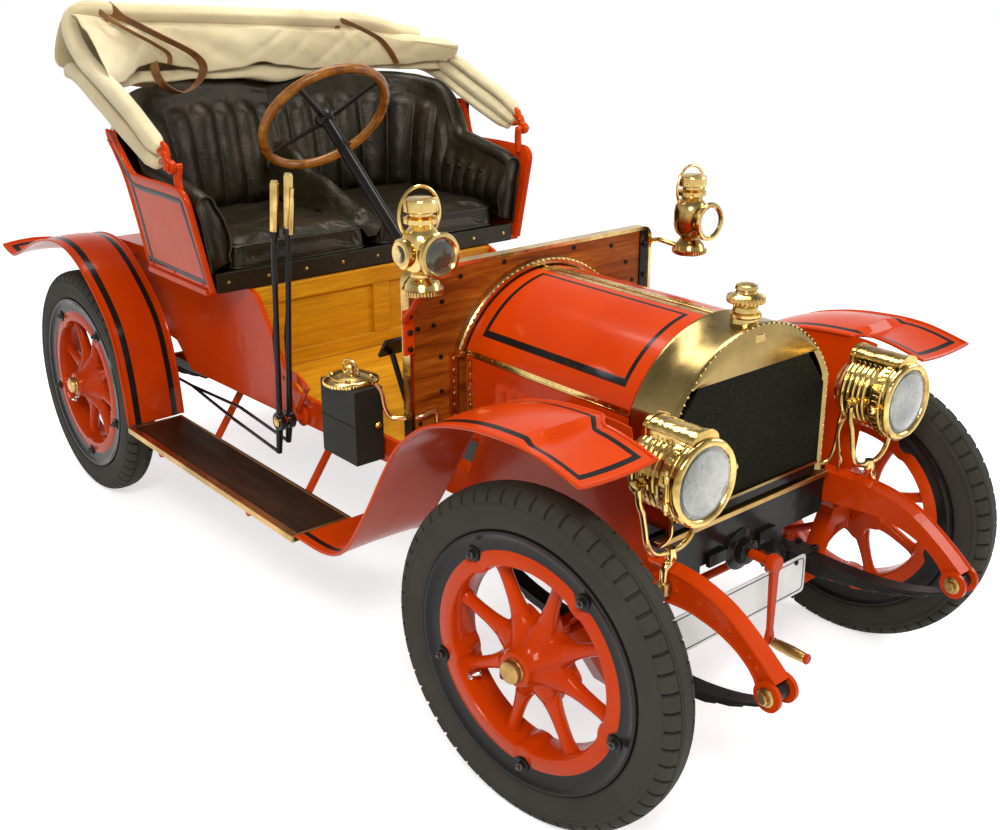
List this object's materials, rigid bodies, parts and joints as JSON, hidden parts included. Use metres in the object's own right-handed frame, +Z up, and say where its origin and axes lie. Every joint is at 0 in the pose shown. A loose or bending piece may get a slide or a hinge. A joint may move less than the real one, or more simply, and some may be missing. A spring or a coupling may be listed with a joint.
{
  "type": "open two-seat brass era car",
  "caption": "Open two-seat car of about 1909 with arched bonnet, upright radiator, wooden spoked wheels, running boards and a folded hood; it steers, rolls and opens its bonnet.",
  "frame": {"origin": "on the ground, at the middle of the car's overall length and width", "axes": "+Z up, the car faces -Y, +X is the car's left-hand side"},
  "size_m": [1.343, 3.2661, 1.6094],
  "materials": {
    "red_paint": "glossy vermilion enamel with black lines",
    "black_enamel": "glossy black enamel",
    "brass": "polished",
    "tyre": "matte rubber with block tread",
    "dash_wood": "varnished mahogany",
    "floor_wood": "varnished yellow pine",
    "rim_wood": "varnished bent wood",
    "board_wood": "dark ribbed mat in a brass edge",
    "leather": "dark brown buttoned leather",
    "canvas": "cream hood canvas",
    "cast_metal": "as cast",
    "radiator_core": "black-green cooling tubes",
    "white_plate": "white enamel, blank"
  },
  "bodies": {
    "chassis": {"frame_rails": "red_paint", "cross_members": "black_enamel", "front_axle": "red_paint", "front_springs": "black_enamel", "rear_axle": "red_paint", "rear_springs": "black_enamel", "engine": "cast_metal", "drive_line": "cast_metal", "exhaust": "black_enamel", "bonnet_rod": "brass", "radiator_shell": "brass", "radiator_core": "radiator_core", "dashboard": "dash_wood", "floor": "floor_wood", "pedals": "black_enamel", "body_panels": "red_paint", "seat_riser": "floor_wood", "seat_sides": "red_paint", "seat_cushions": "leather", "seat_back": "leather", "front_fenders": "red_paint", "rear_fenders": "red_paint", "running_boards": "board_wood", "board_brackets": "red_paint", "headlamps": "brass", "side_lamps": "brass", "gas_generator": "black_enamel", "hand_levers": "black_enamel", "steering_column": "black_enamel", "starting_crank": "red_paint", "number_plate": "white_plate"},
    "steering_wheel": {"steering_wheel": "rim_wood"},
    "knuckle_right": {"knuckle_right": "red_paint"},
    "knuckle_left": {"knuckle_left": "red_paint"},
    "tie_rod": {"tie_rod": "red_paint"},
    "drop_arm": {"drop_arm": "black_enamel"},
    "drag_link": {"drag_link": "black_enamel"},
    "bonnet_top_right": {"bonnet_top_right": "red_paint"},
    "bonnet_top_left": {"bonnet_top_left": "red_paint"},
    "bonnet_side_right": {"bonnet_side_right": "red_paint"},
    "bonnet_side_left": {"bonnet_side_left": "red_paint"},
    "hood": {"hood_frame": "red_paint", "hood_cloth": "canvas"},
    "road_wheel_front_right": {"wheel_front_right": "red_paint", "tyre_front_right": "tyre"},
    "road_wheel_front_left": {"wheel_front_left": "red_paint", "tyre_front_left": "tyre"},
    "road_wheel_rear_right": {"wheel_rear_right": "red_paint", "tyre_rear_right": "tyre"},
    "road_wheel_rear_left": {"wheel_rear_left": "red_paint", "tyre_rear_left": "tyre"}
  },
  "joints": [
    {"name": "steering_wheel_turn", "type": "hinge", "parent": "chassis", "child": "steering_wheel", "pos_m": [-0.23, 0.1145, 1.325], "axis": [0, 0.7694, 0.6388], "range_deg": [-315, 171]},
    {"name": "knuckle_right_turn", "type": "hinge", "parent": "chassis", "child": "knuckle_right", "pos_m": [-0.5045, -1.1625, 0.377], "axis": [0, 0, 1], "range_deg": [-35.1, 19.1]},
    {"name": "knuckle_left_turn", "type": "hinge", "parent": "chassis", "child": "knuckle_left", "pos_m": [0.5045, -1.1625, 0.377], "axis": [0, 0, 1], "range_deg": [-35.1, 19.1]},
    {"name": "tie_rod_swing", "type": "hinge", "parent": "knuckle_right", "child": "tie_rod", "pos_m": [-0.52538, -1.01396, 0.24], "axis": [0, 0, 1], "range_deg": [-19.1, 35.1]},
    {"name": "drop_arm_turn", "type": "hinge", "parent": "chassis", "child": "drop_arm", "pos_m": [-0.283, -0.7625, 0.547], "axis": [1, 0, 0], "range_deg": [-54.7, 29.74]},
    {"name": "drag_link_swing", "type": "hinge", "parent": "drop_arm", "child": "drag_link", "pos_m": [-0.283, -0.73167, 0.4002], "axis": [1, 0, 0], "range_deg": [-29.74, 54.7]},
    {"name": "wheel_front_right_spin", "type": "hinge", "parent": "knuckle_right", "child": "road_wheel_front_right", "pos_m": [-0.57778, -1.1728, 0.377], "axis": [0.9903, 0.1392, 0], "continuous": true},
    {"name": "wheel_front_left_spin", "type": "hinge", "parent": "knuckle_left", "child": "road_wheel_front_left", "pos_m": [0.57778, -1.1522, 0.377], "axis": [0.9903, 0.1392, 0], "continuous": true},
    {"name": "wheel_rear_right_spin", "type": "hinge", "parent": "chassis", "child": "road_wheel_rear_right", "pos_m": [-0.5785, 1.0875, 0.377], "axis": [1, 0, 0], "continuous": true},
    {"name": "wheel_rear_left_spin", "type": "hinge", "parent": "chassis", "child": "road_wheel_rear_left", "pos_m": [0.5785, 1.0875, 0.377], "axis": [1, 0, 0], "continuous": true},
    {"name": "bonnet_right_open", "type": "hinge", "parent": "chassis", "child": "bonnet_top_right", "pos_m": [0, -0.8275, 0.994], "axis": [0, 1, 0], "range_deg": [0, 80]},
    {"name": "bonnet_left_open", "type": "hinge", "parent": "chassis", "child": "bonnet_top_left", "pos_m": [0, -0.8275, 0.994], "axis": [0, -1, 0], "range_deg": [0, 80]},
    {"name": "bonnet_side_right_fold", "type": "hinge", "parent": "bonnet_top_right", "child": "bonnet_side_right", "pos_m": [-0.2605, -0.8275, 0.811], "axis": [0, 1, 0], "range_deg": [-80.1, 0.1]},
    {"name": "bonnet_side_left_fold", "type": "hinge", "parent": "bonnet_top_left", "child": "bonnet_side_left", "pos_m": [0.2605, -0.8275, 0.811], "axis": [0, -1, 0], "range_deg": [-80.1, 0.1]},
    {"name": "hood_lift", "type": "hinge", "parent": "chassis", "child": "hood", "pos_m": [0, 0.2635, 1.211], "axis": [1, 0, 0], "range_deg": [0, 70]}
  ],
  "couplings": [
    {"joint": "knuckle_right_turn", "follows": "steering_wheel_turn", "ratio": 0.11111},
    {"joint": "knuckle_left_turn", "follows": "steering_wheel_turn", "ratio": 0.11111},
    {"joint": "tie_rod_swing", "follows": "steering_wheel_turn", "ratio": -0.11111},
    {"joint": "drop_arm_turn", "follows": "steering_wheel_turn", "ratio": 0.17333},
    {"joint": "drag_link_swing", "follows": "steering_wheel_turn", "ratio": -0.17333},
    {"joint": "bonnet_side_right_fold", "follows": "bonnet_right_open", "ratio": -1},
    {"joint": "bonnet_side_left_fold", "follows": "bonnet_left_open", "ratio": -1}
  ]
}
